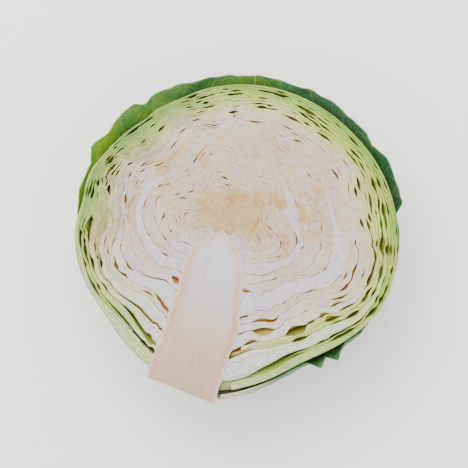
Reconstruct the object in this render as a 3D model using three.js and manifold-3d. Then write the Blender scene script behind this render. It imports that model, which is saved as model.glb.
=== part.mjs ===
// Half of a white cabbage head, cut lengthwise through the core.
// The half lies on its rounded back: the flat cut face is level and looks up (+Z),
// the crown is towards +Y and the cut stem end towards -Y. Millimetres.
//
// The leaves are nested shells round one growing point, the tip of the core. Every leaf
// surface is measured along the same rays from that point, so one leaf always lies wholly
// outside the next. A ray has a direction (polar angle from the crown, turn round the core)
// and the leaves share out its length by their own thickness.
import * as THREE from 'three';
import { mergeVertices } from 'three/addons/utils/BufferGeometryUtils.js';
import Module from 'manifold-3d';

const wasm = await Module();
wasm.setup();

const RAD = Math.PI / 180;

// ---- driving dimensions -------------------------------------------------------------
const LEAVES = 38;             // leaves packed in the head, heart leaf first
const GOLDEN_TURN = 137.5;     // degrees round the core from one leaf to the next
const FIRST_TURN = 132.5;      // so the outermost leaf has its midrib on the left edge
const CLEARANCE = 0.35;        // between a leaf base and the core
const BUD_RADIUS = 5.5;        // bud at the growing point
const HEAD_DEPTH = 82;         // cut face to the back of the head, over the resting spot
const WRAP_DEPTH = 2.6;        // outer wrapper leaf and its gap, below the head
const TOP = HEAD_DEPTH + WRAP_DEPTH; // height of the cut face over the ground

// Polar angles of the rays (0 = crown, 180 = down the core) and the radius of the head
// at each of them, on its full right flank and on its flatter left flank.
const POLAR = [0, 20, 40, 60, 78, 92, 106, 122, 138, 154, 170];
const RIGHT_FLANK = [82.5, 86.2, 90, 94.8, 98, 99.6, 99, 92.5, 87.2, 88.6, 92];
const LEFT_FLANK = [82.5, 78.8, 75, 77.2, 79.8, 80.6, 83.2, 82.8, 81.6, 85, 89];
// Turns round the core: 0 = right edge of the cut face, 90 = straight down, 180 = left edge.
const TURN = [0, 24, 47, 70, 100, 127, 154, 180];
const ROWS = POLAR.length - 1;
const COLUMNS = TURN.length - 1;
// The head sits on the facets between these rows and columns.
const FOOT_ROWS = [4, 6];
const FOOT_COLUMNS = [3, 4];
const BACK_FLATTENING = 0.04;  // the back is this much shallower than the flanks are wide

// Leaf thickness and the air between leaves.
const BLADE = 1.55;            // leaf blade
const MIDRIB = 3.0;            // added at the foot of the midrib
const AIR = 0.62;              // between blades
const POCKET = 3.2;            // widest hollow over a leaf base
const SPENT = 0.14;            // room kept for a leaf beyond its margin
const LEAF_REACH = 128;        // angular half width of a leaf, seen from the growing point
const LEAF_CENTRE = 42;        // polar angle of the middle of a leaf

// Core: half width at each depth below its tip, and how far the stem drifts left.
const CORE_DEPTH = [0, 1.2, 4, 13, 24, 36, 50, 64, 80, 96];
const CORE_HALF = [0, 3.2, 6.6, 13.2, 17.2, 18.2, 19.8, 20.4, 20.4, 20.4];
const STEM_DRIFT = -5;
const STEM_RIGHT = -97;        // the stem is cut off at a slant: right corner
const STEM_LEFT = -89.5;       // and left corner
const CORE_SIDES = 10;         // facets round the half core

// ---- small helpers ------------------------------------------------------------------
function smooth(low, high, value) {
  const t = Math.min(1, Math.max(0, (value - low) / (high - low)));
  return t * t * (3 - 2 * t);
}

function direction(polar, turn) {
  const p = polar * RAD;
  const t = turn * RAD;
  return new THREE.Vector3(Math.sin(p) * Math.cos(t), Math.cos(p), -Math.sin(p) * Math.sin(t));
}

function solid(geometry) {
  const plain = geometry.clone();
  plain.deleteAttribute('normal');
  plain.deleteAttribute('uv');
  const merged = mergeVertices(plain, 1e-4);
  return new wasm.Manifold(new wasm.Mesh({
    numProp: 3,
    vertProperties: new Float32Array(merged.attributes.position.array),
    triVerts: new Uint32Array(merged.index.array),
  }));
}

function geometryOf(body) {
  const mesh = body.getMesh();
  const geometry = new THREE.BufferGeometry();
  geometry.setAttribute('position', new THREE.BufferAttribute(mesh.vertProperties.slice(), 3));
  geometry.setIndex(new THREE.BufferAttribute(mesh.triVerts.slice(), 1));
  geometry.computeVertexNormals();
  return geometry;
}

function fromTriangles(points, triangles) {
  const geometry = new THREE.BufferGeometry();
  const flat = points.flatMap((p) => [p.x, p.y, p.z]);
  geometry.setAttribute('position', new THREE.Float32BufferAttribute(flat, 3));
  geometry.setIndex(triangles.flat());
  return geometry;
}

// A closed sheet between two grids of points, outside[row][column] and inside[row][column].
// Over the crown, row 0 is a single point, the same for every column.
function sheet(outside, inside, overCrown = true) {
  const rows = outside.length - 1;
  const columns = outside[0].length - 1;
  const points = [];
  const number = [outside, inside].map((grid) => grid.map((line, i) => line.map((p, j) => {
    if (overCrown && i === 0 && j > 0) {
      return points.length - 1;
    }
    return points.push(p) - 1;
  })));
  const [out, inn] = number;
  const triangles = [];
  const quad = (a, b, c, d) => {
    triangles.push([a, b, c], [a, c, d]);
  };
  for (let i = 0; i < rows; i += 1) {
    for (let j = 0; j < columns; j += 1) {
      if (overCrown && i === 0) {
        triangles.push([out[0][0], out[1][j], out[1][j + 1]]);
        triangles.push([inn[0][0], inn[1][j + 1], inn[1][j]]);
      } else {
        quad(out[i][j], out[i + 1][j], out[i + 1][j + 1], out[i][j + 1]);
        quad(inn[i][j], inn[i][j + 1], inn[i + 1][j + 1], inn[i + 1][j]);
      }
    }
    quad(out[i][0], inn[i][0], inn[i + 1][0], out[i + 1][0]);
    quad(out[i + 1][columns], inn[i + 1][columns], inn[i][columns], out[i][columns]);
  }
  for (let j = 0; j < columns; j += 1) {
    quad(out[rows][j], inn[rows][j], inn[rows][j + 1], out[rows][j + 1]);
    if (!overCrown) {
      quad(out[0][j + 1], inn[0][j + 1], inn[0][j], out[0][j]);
    }
  }
  return fromTriangles(points, triangles);
}

// A block that fills all of space on the far side of a plane, to trim a leaf margin.
function beyond(normal, distance) {
  const size = 400;
  const block = new THREE.BoxGeometry(size, size, size);
  block.translate(0, -size / 2 - distance, 0);
  block.applyQuaternion(new THREE.Quaternion().setFromUnitVectors(new THREE.Vector3(0, 1, 0), normal));
  return solid(block);
}

// Trims along the plane through the growing point and two directions, keeping a third.
function beside(first, second, kept) {
  const normal = new THREE.Vector3().crossVectors(first, second).normalize();
  if (normal.dot(kept) < 0) {
    normal.negate();
  }
  return beyond(normal, 0);
}

// ---- the head's outer form ----------------------------------------------------------
function headRadius(row, column) {
  const turn = TURN[column] * RAD;
  const drop = Math.sin(POLAR[row] * RAD) * Math.sin(turn);
  const foot = row >= FOOT_ROWS[0] && row <= FOOT_ROWS[1]
    && column >= FOOT_COLUMNS[0] && column <= FOOT_COLUMNS[1];
  if (foot) {
    return HEAD_DEPTH / drop;
  }
  const share = (1 + Math.cos(turn)) / 2;
  const flank = RIGHT_FLANK[row] * share + LEFT_FLANK[row] * (1 - share);
  const round = flank * (1 - BACK_FLATTENING * Math.sin(turn) ** 2);
  return drop > 0.5 ? Math.min(round, HEAD_DEPTH / drop) : round;
}

// ---- how the leaves share a ray -----------------------------------------------------
function leafTurn(k) {
  return (k * GOLDEN_TURN + FIRST_TURN) % 360;
}

function turnBetween(a, b) {
  const d = Math.abs(a - b) % 360;
  return d > 180 ? 360 - d : d;
}

function leafAxis(k) {
  return direction(LEAF_CENTRE, leafTurn(k));
}

// Room that leaf k takes on a ray: [its thickness, the air outside it].
function room(k, polar, turn) {
  const order = (k + 0.5) / LEAVES;
  const off = turnBetween(turn, leafTurn(k));
  const angle = direction(polar, turn).angleTo(leafAxis(k)) / RAD;
  const present = smooth(LEAF_REACH + 10, LEAF_REACH - 22, angle);
  const low = smooth(70, 150, polar);
  const rib = Math.exp(-((off / 42) ** 2));
  const crowded = 1 - 0.62 * (1 - 2 * order) * smooth(100, 160, polar);
  const thick = (BLADE + MIDRIB * low * rib * (0.5 + 0.6 * order)) * crowded;
  const hollow = 0.35 + 0.65 * Math.abs(Math.sin(k * 2.4));
  const pocket = POCKET * hollow * rib * smooth(96, 128, polar) * smooth(166, 140, polar);
  const air = AIR + pocket * (0.35 + 0.65 * order);
  return [Math.max(SPENT, thick * present), Math.max(SPENT, air * (0.3 + 0.7 * present))];
}

// Radii of every leaf along one ray: [[inner, outer], ...], heart leaf first.
function radiiAlong(row, column) {
  const polar = POLAR[row];
  const turn = TURN[column];
  const start = BUD_RADIUS + AIR;
  const full = headRadius(row, column);
  let total = 0;
  const parts = [];
  for (let k = 0; k < LEAVES; k += 1) {
    const [thick, air] = room(k, polar, turn);
    parts.push([total, total + thick]);
    total += thick + (k === LEAVES - 1 ? 0 : air);
  }
  return parts.map(([a, b]) => [
    start + (full - start) * a / total,
    start + (full - start) * b / total,
  ]);
}

const rays = POLAR.map((_, row) => TURN.map((__, column) => radiiAlong(row, column)));

function onRay(row, column, radius) {
  return direction(POLAR[row], TURN[column]).multiplyScalar(radius);
}

// ---- core ---------------------------------------------------------------------------
// Half round column, pointed at the growing point and cut at a slant at the stem end.
function coreForm(spread, turns, sides) {
  const rings = CORE_DEPTH.map((depth, i) => {
    const half = i === 0 ? 0 : CORE_HALF[i] + spread;
    const along = smooth(50, 96, depth);
    const centre = STEM_DRIFT * along;
    return Array.from({ length: sides + (turns === 360 ? 0 : 1) }, (_, j) => {
      const t = (j / sides) * turns * RAD;
      const x = centre + half * Math.cos(t);
      const last = i === CORE_DEPTH.length - 1;
      const slant = STEM_RIGHT + (STEM_LEFT - STEM_RIGHT) * (15.4 - x) / 40.8;
      const y = last ? slant - spread * 20 : spread - depth;
      return new THREE.Vector3(x, y, -half * Math.sin(t));
    });
  });
  const points = [rings[0][0]];
  const index = rings.map((ring, i) => ring.map((p) => (i === 0 ? 0 : points.push(p) - 1)));
  const triangles = [];
  const count = rings[0].length;
  const steps = turns === 360 ? count : count - 1;
  for (let i = 0; i + 1 < rings.length; i += 1) {
    for (let j = 0; j < steps; j += 1) {
      const n = (j + 1) % count;
      if (i === 0) {
        triangles.push([0, index[1][j], index[1][n]]);
      } else {
        triangles.push([index[i][j], index[i + 1][j], index[i + 1][n]]);
        triangles.push([index[i][j], index[i + 1][n], index[i][n]]);
      }
    }
    if (turns !== 360) {
      const end = count - 1;
      if (i === 0) {
        triangles.push([0, index[1][end], index[1][0]]);
      } else {
        triangles.push([index[i][end], index[i + 1][end], index[i + 1][0]]);
        triangles.push([index[i][end], index[i + 1][0], index[i][0]]);
      }
    }
  }
  const base = index[rings.length - 1];
  for (let j = 1; j + 1 < base.length; j += 1) {
    triangles.push([base[0], base[j + 1], base[j]]);
  }
  return fromTriangles(points, triangles);
}

const cabbage = new THREE.Group();
cabbage.name = 'half_cabbage_head';

const RIPE = [
  [0.0, new THREE.Color('#ddd0a4')],
  [0.35, new THREE.Color('#e3dcc6')],
  [0.7, new THREE.Color('#dfe0bd')],
  [0.88, new THREE.Color('#c3d488')],
  [1.0, new THREE.Color('#8fae4a')],
];

function leafColour(order) {
  const next = Math.max(1, RIPE.findIndex(([at]) => at >= order));
  const [low, a] = RIPE[next - 1];
  const [high, b] = RIPE[next];
  return a.clone().lerp(b, (order - low) / (high - low));
}

function add(name, geometry, colour, roughness) {
  const material = new THREE.MeshStandardMaterial({ color: colour, roughness, metalness: 0 });
  const mesh = new THREE.Mesh(geometry, material);
  mesh.name = name;
  cabbage.add(mesh);
  return mesh;
}

add('core', coreForm(0, 180, CORE_SIDES), '#dccdc4', 0.6);
const coreCutter = solid(coreForm(CLEARANCE, 360, CORE_SIDES * 2));

// ---- heart bud ----------------------------------------------------------------------
// The unopened leaves at the growing point, one small closed lump over the core tip.
{
  const skin = POLAR.map((_, i) => TURN.map((__, j) => onRay(i, j, BUD_RADIUS)));
  const middle = POLAR.map((_, i) => TURN.map((__, j) => onRay(i, j, 0.6)));
  const bud = solid(sheet(skin, middle)).subtract(coreCutter);
  add('heart_bud', geometryOf(bud), '#d9c892', 0.55);
}

// ---- head leaves --------------------------------------------------------------------
for (let k = 0; k < LEAVES; k += 1) {
  const inside = rays.map((line, i) => line.map((ray, j) => onRay(i, j, ray[k][0])));
  const outside = rays.map((line, i) => line.map((ray, j) => onRay(i, j, ray[k][1])));
  const middle = rays[5][3][k][1];
  const margin = beyond(leafAxis(k), -Math.cos(LEAF_REACH * RAD) * middle);
  const leaf = solid(sheet(outside, inside)).subtract(coreCutter).subtract(margin);
  const name = `head_leaf_${String(k + 1).padStart(2, '0')}`;
  add(name, geometryOf(leaf), leafColour((k + 0.5) / LEAVES), 0.5);
}

// ---- wrapper leaves -----------------------------------------------------------------
// Loose green outer leaves lying on the head's back. Their free margins stay a little below
// the cut face and curl outwards, so they show round the crown as a frilled rim.
const WRAPPER = 1.5;           // blade of the wrapper leaves
const WRAPPER_AIR = 0.5;       // between them and the head
const MARGIN_DROP = 6;         // free margin below the cut face
const CURL_LEFT = [5, 6.5, 9.5, 6.5, 0.8];    // how far the margin stands out, row by row
const CURL_RIGHT = [5, 5, 5.5, 6, 0.8];       // from the crown down each flank

function headPoint(row, column) {
  return onRay(row, column, headRadius(row, column));
}

// Point on the head's skin between the cut edge and the next column, this far below the cut.
function belowCut(row, left, drop) {
  const edge = headPoint(row, left ? COLUMNS : 0);
  const next = headPoint(row, left ? COLUMNS - 1 : 1);
  return edge.lerp(next, Math.min(0.95, drop / -next.z));
}

function lifted(point, out) {
  return point.clone().setLength(point.length() + out);
}

function onFoot(row, column) {
  return row >= FOOT_ROWS[0] && row <= FOOT_ROWS[1]
    && column >= FOOT_COLUMNS[0] && column <= FOOT_COLUMNS[1];
}

{
  const seat = POLAR.map((_, i) => TURN.map((__, j) => {
    if (i === 0) {
      const crown = headPoint(0, 0).lerp(headPoint(1, FOOT_COLUMNS[0]), MARGIN_DROP / 27);
      return lifted(crown, CURL_LEFT[0]);
    }
    if (j > 0 && j < COLUMNS) {
      return headPoint(i, j);
    }
    const curl = (j > 0 ? CURL_LEFT : CURL_RIGHT)[i] ?? 0;
    return lifted(belowCut(i, j > 0, MARGIN_DROP), curl);
  }));
  const inside = seat.map((line, i) => line.map((p, j) => (
    onFoot(i, j) ? p.clone().multiplyScalar((HEAD_DEPTH + WRAPPER_AIR) / HEAD_DEPTH)
      : lifted(p, WRAPPER_AIR)
  )));
  const outside = seat.map((line, i) => line.map((p, j) => (
    onFoot(i, j) ? p.clone().multiplyScalar(TOP / HEAD_DEPTH)
      : lifted(p, WRAPPER_AIR + WRAPPER)
  )));
  const kept = direction(120, 85);
  const right = beside(direction(76, 0), direction(168, 40), kept);
  const left = beside(direction(88, 180), direction(168, 132), kept);
  const leaf = solid(sheet(outside, inside)).subtract(coreCutter).subtract(right).subtract(left);
  add('wrapper_leaf_1', geometryOf(leaf), '#5b8f3f', 0.5);
}

{
  const firstRow = 6;
  const drops = [13, 3.5, 7, 0, 0];
  const curls = [1, 5.5, 2.5, 0.6, 0];
  const over = WRAP_DEPTH + 2 * WRAPPER_AIR;
  const seat = POLAR.slice(firstRow).map((_, n) => [0, 1, 2, 3].map((j) => {
    const i = n + firstRow;
    if (j === 3 && n === 0) {
      return headPoint(i, j).lerp(headPoint(i + 1, j), 0.7);
    }
    return j === 0 ? lifted(belowCut(i, false, drops[n]), curls[n]) : headPoint(i, j);
  }));
  const inside = seat.map((line) => line.map((p) => lifted(p, over)));
  const outside = seat.map((line) => line.map((p) => lifted(p, over + WRAPPER)));
  const leaf = solid(sheet(outside, inside, false)).subtract(coreCutter);
  add('wrapper_leaf_2', geometryOf(leaf), '#6f9a48', 0.55);
}

// ---- into the shared frame: centred over the ground, resting spot at height zero ----
const centre = new THREE.Box3().setFromObject(cabbage).getCenter(new THREE.Vector3());
cabbage.children.forEach((mesh) => {
  mesh.position.set(-centre.x, -centre.y, TOP);
});

export default cabbage;
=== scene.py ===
import math

import bpy
import numpy as np
from mathutils import Matrix, Vector


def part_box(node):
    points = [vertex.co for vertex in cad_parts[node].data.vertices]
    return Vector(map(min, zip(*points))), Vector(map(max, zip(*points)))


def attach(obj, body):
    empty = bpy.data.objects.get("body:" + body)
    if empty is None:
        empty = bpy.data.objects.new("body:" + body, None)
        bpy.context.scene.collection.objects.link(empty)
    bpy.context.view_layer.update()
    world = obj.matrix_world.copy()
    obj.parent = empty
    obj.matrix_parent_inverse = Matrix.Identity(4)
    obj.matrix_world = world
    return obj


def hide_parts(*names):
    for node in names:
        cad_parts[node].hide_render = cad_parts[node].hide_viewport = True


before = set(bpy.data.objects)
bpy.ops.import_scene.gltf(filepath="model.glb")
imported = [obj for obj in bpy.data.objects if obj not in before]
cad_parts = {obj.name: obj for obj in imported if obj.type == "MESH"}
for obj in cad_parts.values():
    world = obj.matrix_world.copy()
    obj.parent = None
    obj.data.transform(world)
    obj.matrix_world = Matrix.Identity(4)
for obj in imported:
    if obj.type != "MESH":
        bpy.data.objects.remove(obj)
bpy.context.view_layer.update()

# ---------------------------------------------------------------- core
# The core is the plant's short thick stem, halved lengthwise by the knife. Its upper part is
# moist white pith; lower down it turns to firmer, pinkish cortex with fine strands along its
# sides. The growing point at its tip is the centre that every leaf is nested round.
MM = 0.001
bud_low, bud_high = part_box("heart_bud")
core_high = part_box("core")[1]
TIP = Vector(((bud_low.x + bud_high.x) / 2, core_high.y, core_high.z))

# Half width of the core by its depth below the growing point, all in mm.
CORE_DEPTH = np.array([0, 1.2, 4, 13, 24, 36, 50, 64, 80, 97.5])
CORE_HALF = np.array([0, 3.2, 6.6, 13.2, 17.2, 18.2, 19.8, 20.4, 20.4, 20.4])
CORE_LENGTH, CORE_END = CORE_DEPTH[-1], CORE_HALF[-1]
# The stem leans to the left on its way down, and its end was cut off at a slant.
STEM_DRIFT = -5.0
STEM_RIGHT, STEM_LEFT = -97.0, -89.5

# The head's outline on the cut, from the crown (0 degrees) round to the stem (180), in mm. Its
# own weight flattens the back, and rounds it off where it rests.
POLAR = np.array([0, 20, 40, 60, 78, 92, 106, 122, 138, 154, 170, 180.0])
RIGHT_FLANK = np.array([82.5, 86.2, 90, 94.8, 98, 99.6, 99, 92.5, 87.2, 88.6, 92, 94])
LEFT_FLANK = np.array([82.5, 78.8, 75, 77.2, 79.8, 80.6, 83.2, 82.8, 81.6, 85, 89, 92])
HEAD_DEPTH = 82.0
BACK_FLATTENING = 0.04
RESTING_EDGE = 1.2


def smooth(low, high, value):
    """Rises from 0 to 1 between low and high, or falls where high is the smaller."""
    t = np.clip((value - low) / (high - low), 0, 1)
    return t * t * (3 - 2 * t)


def curve(x, xs, ys):
    """A smooth line through the points (xs, ys)."""
    x = np.clip(x, xs[0], xs[-1])
    slope = np.gradient(ys, xs)
    i = np.clip(np.searchsorted(xs, x) - 1, 0, len(xs) - 2)
    h = xs[i + 1] - xs[i]
    t = (x - xs[i]) / h
    return (
        (1 + 2 * t) * (1 - t) ** 2 * ys[i]
        + t * (1 - t) ** 2 * h * slope[i]
        + t * t * (3 - 2 * t) * ys[i + 1]
        + t * t * (t - 1) * h * slope[i + 1]
    )


def head_radius(polar, turn):
    """Distance from the growing point to the skin of the head, in mm, along the ray at polar
    degrees from the crown. Turn 0 is the cut's right, 90 straight down and 180 its left."""
    t = np.radians(turn)
    right = (1 + np.cos(t)) / 2
    flank = curve(polar, POLAR, RIGHT_FLANK) * right + curve(polar, POLAR, LEFT_FLANK) * (1 - right)
    rounded = flank * (1 - BACK_FLATTENING * np.sin(t) ** 2 * smooth(0, 25, polar))
    drop = np.sin(np.radians(polar)) * np.sin(t)
    rested = HEAD_DEPTH / np.maximum(drop, 0.3)
    return -RESTING_EDGE * np.logaddexp(-rounded / RESTING_EDGE, -rested / RESTING_EDGE)


def waves(seed, count, short, long):
    """A smooth random field: plane waves between two wavelengths in mm."""
    rng = np.random.default_rng(seed)
    way = rng.normal(size=(count, 3))
    way /= np.linalg.norm(way, axis=1)[:, None]
    number = 2 * np.pi / rng.uniform(short, long, count)
    phase = rng.uniform(0, 2 * np.pi, count)
    return lambda p: np.sin(p @ (way * number[:, None]).T + phase).sum(-1) / math.sqrt(count / 2)


# How far growing in a tight head presses its tissue aside, in mm: in swells 26 to 52 mm long
# and in wrinkles 8 to 15 mm long. Near the cut it no longer moves anything up or down.
BROAD_PRESS, FINE_PRESS = 1.9, 0.42
BROAD_SEED, FINE_SEED = 11, 31
PRESS_FADE = 9.0
BROAD = [waves(BROAD_SEED + i, 14, 26, 52) for i in range(3)]
FINE = [waves(FINE_SEED + i, 20, 8, 15) for i in range(3)]


def settle(p):
    """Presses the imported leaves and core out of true, all together, so that none meets its
    neighbour. The cut plane, the stem and the outside of the head keep their place."""
    radius = np.linalg.norm(p, axis=-1)
    polar = np.degrees(np.arccos(np.clip(p[..., 1] / np.maximum(radius, 1e-6), -1, 1)))
    turn = np.degrees(np.arctan2(-p[..., 2], p[..., 0]))
    share = radius / head_radius(polar, np.clip(turn, 0, 180))
    stem = smooth(30, 14, np.hypot(p[..., 0] + 2, p[..., 2])) * smooth(-8, -30, p[..., 1])
    calm = 0.15 + 0.85 * smooth(-30, 2, p[..., 1])
    broad = BROAD_PRESS * smooth(0.05, 0.3, share) * smooth(1.0, 0.6, share) * (0.45 + 0.55 * calm)
    fine = FINE_PRESS * smooth(0.04, 0.2, share) * smooth(0.98, 0.6, share) * calm
    below = 1 - np.exp(p[..., 2] / PRESS_FADE)
    pressed = p.copy()
    for i in range(3):
        push = (broad * BROAD[i](p) + fine * FINE[i](p)) * (1 - 0.75 * stem)
        pressed[..., i] += push * (below if i == 2 else 1)
    return pressed


def linear(text):
    """Turns an sRGB hex colour to linear RGBA."""
    values = [int(text[i : i + 2], 16) / 255 for i in (1, 3, 5)]
    return [v / 12.92 if v <= 0.04045 else ((v + 0.055) / 1.055) ** 2.4 for v in values] + [1]


def every(mm):
    """Scale of a pattern that has one feature in so many millimetres."""
    return 1 / (mm * MM)


def node(tree, kind, inputs=None, stops=None, out=0, **settings):
    """Adds a node with its settings, colour stops and inputs, and gives one of its outputs."""
    made = tree.nodes.new("ShaderNode" + kind)
    for key, value in settings.items():
        setattr(made, key, value)
    for n, (place, colour) in enumerate(stops or []):
        elements = made.color_ramp.elements
        element = elements[n] if n < 2 else elements.new(place)
        element.position = place
        element.color = linear(colour) if isinstance(colour, str) else [colour] * 3 + [1]
    for key, value in (inputs or {}).items():
        if isinstance(value, bpy.types.NodeSocket):
            tree.links.new(value, made.inputs[key])
        else:
            made.inputs[key].default_value = linear(value) if isinstance(value, str) else value
    return made.outputs[out]


def tissue(name):
    """An empty material for plant tissue, with its node tree and the place of each point."""
    material = bpy.data.materials.new(name)
    material.use_nodes = True
    tree = material.node_tree
    tree.nodes.clear()
    return material, tree, node(tree, "TexCoord", out="Object")


SAP_IOR = 1.4


def moisten(tree, colour, roughness, height, relief, reach, scatter):
    """Finishes a material as wet cells, with the IOR of their sap. Light spreads a millimetre or
    two (reach, by colour) under an uneven skin, whose relief is in mm."""
    bump = node(tree, "Bump", {"Strength": 0.5, "Distance": relief * MM, "Height": height})
    surface = node(
        tree, "BsdfPrincipled",
        {
            "Base Color": colour, "Roughness": roughness, "IOR": SAP_IOR, "Normal": bump,
            "Subsurface Weight": scatter, "Subsurface Scale": 1.0,
            "Subsurface Radius": [v * MM for v in reach],
        },
    )
    output = tree.nodes.new("ShaderNodeOutputMaterial")
    tree.links.new(surface, output.inputs["Surface"])


def mesh_piece(name, points, faces, values, materials, slots=None):
    """A mesh from points in mm round the growing point. Cut faces (slot 0 of several) are flat,
    as the knife leaves them, and grown skins are smooth."""
    mesh = bpy.data.meshes.new(name)
    mesh.from_pydata((points * MM + np.array(TIP)).tolist(), [], faces)
    for key, value in values.items():
        made = mesh.attributes.new(key, "FLOAT", "POINT")
        made.data.foreach_set("value", np.asarray(value, dtype=np.float32).ravel())
    for material in materials:
        mesh.materials.append(material)
    grown = np.ones(len(faces), dtype=bool)
    if slots is not None:
        mesh.polygons.foreach_set("material_index", np.asarray(slots, dtype=np.int32))
        grown = np.asarray(slots) > 0
    mesh.polygons.foreach_set("use_smooth", grown)
    mesh.update()
    piece = bpy.data.objects.new(name, mesh)
    bpy.context.collection.objects.link(piece)
    return piece


def stand_for(piece, cad_node):
    """Puts a finished piece in the place of its node."""
    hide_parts(cad_node)
    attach(piece, "root")


# Fresh pith and cortex, sliced: wet and white with a cold lavender cast, then a pinkish beige
# that takes over down the stem. The fibres are finer than 0.5 mm, and are drawn as soft streaks
# 1.9 mm wide so that they show. Depth is in units of 100 mm, and edge in units of 10 mm.
pith, tree, where = tissue("cabbage_core_pith")
edge = node(tree, "Attribute", out="Fac", attribute_name="edge")
depth = node(tree, "Attribute", out="Fac", attribute_name="depth")
cloud = node(tree, "TexNoise", {"Vector": where, "Scale": every(11), "Detail": 4, "Roughness": 0.6})
drift = node(tree, "Math", {0: cloud, 1: 0.5}, operation="SUBTRACT")
drift_down = node(tree, "Math", {0: drift, 1: 0.26, 2: depth}, operation="MULTIPLY_ADD")
drift_in = node(tree, "Math", {0: drift, 1: 0.42, 2: edge}, operation="MULTIPLY_ADD")
along = node(
    tree, "ValToRGB", {"Fac": drift_down},
    [(0.03, "#c2b6a2"), (0.13, "#bdb8c1"), (0.33, "#bab2bb"), (0.64, "#bba48f"), (1.0, "#b0987c")],
)
side = node(tree, "ValToRGB", {"Fac": drift_in}, [(0.12, 0.95), (0.74, 0.0)])
strand = node(
    tree, "ValToRGB", {"Fac": drift_in},
    [(0.16, 0.0), (0.216, 0.9), (0.264, 0.15), (0.336, 0.8), (0.4, 0.0)],
)
lower = node(tree, "ValToRGB", {"Fac": depth}, [(0.15, 0.15), (0.48, 1.0)])
shown = node(tree, "Math", {0: strand, 1: lower}, operation="MULTIPLY")
rind = node(tree, "ValToRGB", {"Fac": edge}, [(0.04, 0.8), (0.16, 0.0)])
colour = along
for mask, tone in ((side, "#c3a48c"), (shown, "#b88d6a"), (rind, "#c1bec0")):
    colour = node(tree, "Mix", {0: mask, 6: colour, 7: tone}, out=2, data_type="RGBA")
lengthwise = node(
    tree, "Mapping", {"Vector": where, "Scale": (every(1.9), every(25), every(1.9))}, out="Vector"
)
fibre = node(tree, "TexNoise", {"Vector": lengthwise, "Scale": 1.0, "Detail": 3, "Roughness": 0.55})
streak = node(
    tree, "ValToRGB", {"Fac": fibre}, [(0.3, "#f5efeb"), (0.5, "#ffffff"), (0.7, "#fbf9f6")]
)
colour = node(
    tree, "Mix", {0: 1.0, 6: colour, 7: streak}, out=2, data_type="RGBA", blend_type="MULTIPLY"
)
# the older cut across the stem has dried and browned
old_cut = node(tree, "ValToRGB", {"Fac": depth}, [(0.985, 0.0), (1.0, 1.0)])
blot = node(tree, "TexNoise", {"Vector": where, "Scale": every(6), "Detail": 4, "Roughness": 0.7})
dried = node(tree, "ValToRGB", {"Fac": blot}, [(0.38, 0.12), (0.6, 0.85)])
browned = node(tree, "Math", {0: old_cut, 1: dried}, operation="MULTIPLY")
colour = node(tree, "Mix", {0: browned, 6: colour, 7: "#a08363"}, out=2, data_type="RGBA")
moisten(tree, colour, 0.42, fibre, 0.2, (1.6, 1.1, 0.6), 0.35)

RINGS = 150
CUT_POINTS, BACK_POINTS = 61, 40
# Each leaf scar makes a low scallop in the side of the stem: its height in mm, and its pitch in
# radians per mm, which puts one in every 10 mm.
SCALLOP, SCALLOP_PITCH = 0.45, 0.62
# The dried end is dished, and its middle lies below the cut. It is marked by a depth of its own.
END_DISH = 0.6
END_MIDDLE = -8.0
END_MARK = 104.0
END_STEPS = (0.97, 0.93, 0.88, 0.82, 0.75, 0.66, 0.55, 0.42, 0.25, 0.0)


def core_centre(depth):
    """How far the stem has leant to the left at this depth, in mm."""
    return STEM_DRIFT * smooth(50, 96, depth)


def build_core():
    """Rings down the stem, each flat along the cut and half round behind, then the cut end."""
    count = CUT_POINTS + BACK_POINTS
    x = np.linspace(1, -1, CUT_POINTS)
    t = np.linspace(math.pi, 2 * math.pi, BACK_POINTS + 2)[1:-1]
    rings, edges, depths = [], [], []
    for d in CORE_LENGTH * np.linspace(0.004, 1, RINGS) ** 1.25:
        half = np.interp(d, CORE_DEPTH, CORE_HALF)
        half += SCALLOP * math.sin(d * SCALLOP_PITCH) * smooth(26, 40, d) * smooth(92, 84, d)
        ring = np.zeros((count, 3))
        ring[:, 0] = np.concatenate([x, np.cos(t)]) * half + core_centre(d)
        ring[:, 2] = np.concatenate([x * 0, np.sin(t)]) * half
        from_right = (CORE_END + STEM_DRIFT - ring[:, 0]) / (2 * CORE_END)
        slant = STEM_RIGHT + (STEM_LEFT - STEM_RIGHT) * from_right
        ring[:, 1] = -d + (slant + CORE_LENGTH) * smooth(60, CORE_LENGTH, d)
        rings.append(ring)
        edges.append(np.concatenate([half * (1 - np.abs(x)), np.zeros(BACK_POINTS)]))
        depths.append(np.full(count, d))
    rim = rings[-1]
    middle = np.array([rim[:, 0].mean(), rim[:, 1].mean(), END_MIDDLE])
    for share in END_STEPS:
        ring = middle + (rim - middle) * share
        ring[:, 1] += END_DISH * (1 - share)
        rings.append(ring)
        edges.append(CORE_END - np.hypot(ring[:, 0] - core_centre(CORE_LENGTH), ring[:, 2]))
        depths.append(np.full(count, END_MARK))
    last = len(rings) - 1
    faces = [(0, 1 + j, 1 + (j + 1) % count) for j in range(count)]
    for i in range(last):
        for j in range(count):
            k = (j + 1) % count
            a, b = 1 + i * count, 1 + (i + 1) * count
            if i + 1 < last:
                faces.append((a + j, b + j, b + k, a + k))
            else:
                faces.append((a + j, b, a + k))
    keep = 2 + last * count
    points = np.concatenate([np.zeros((1, 3))] + rings)[:keep]
    values = {
        "edge": np.concatenate([[0.0]] + edges)[:keep] / 10,
        "depth": np.concatenate([[0.0]] + depths)[:keep] / 100,
    }
    placed = settle(points)
    placed[:, 2] = np.minimum(placed[:, 2], 0)
    return mesh_piece("stem_core", placed, faces, values, [pith])


stand_for(build_core(), "core")

# ---------------------------------------------------------------- leaves of the head
# White cabbage leaves, packed as nested sheets. Each has a thick juicy midrib where it joins
# the core and thins to a crisp blade that wraps over the crown. The cut bares their pale flesh.
LEAVES = 38
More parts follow.
